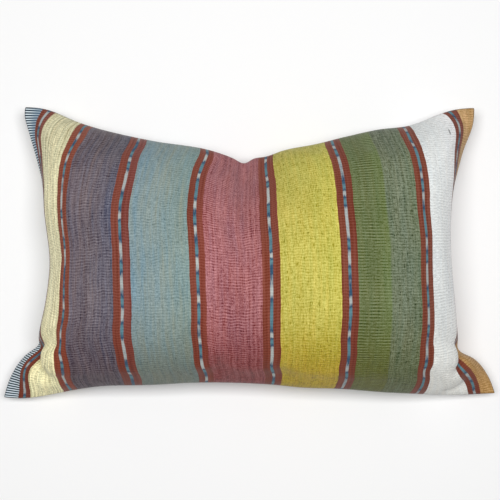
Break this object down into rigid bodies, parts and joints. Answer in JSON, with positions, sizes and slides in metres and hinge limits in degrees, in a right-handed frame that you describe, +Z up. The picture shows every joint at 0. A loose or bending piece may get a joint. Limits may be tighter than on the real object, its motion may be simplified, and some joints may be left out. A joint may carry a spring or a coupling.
{
  "type": "throw cushion",
  "caption": "Oblong filled cushion in coarse striped cloth, with a crowned face, drawn-in sides, thin pointed corners and a dent in the middle of its top edge.",
  "frame": {"origin": "middle of the footprint, on the surface that the cushion lies on", "axes": "+X along the long side, +Y towards the dented top edge, +Z up out of the crowned front"},
  "size_m": [0.614, 0.363, 0.1532],
  "materials": {
    "striped_cloth": "matt handwoven cotton, ribbed across its stripes"
  },
  "bodies": {
    "root": {"cushion": "striped_cloth"}
  },
  "joints": []
}
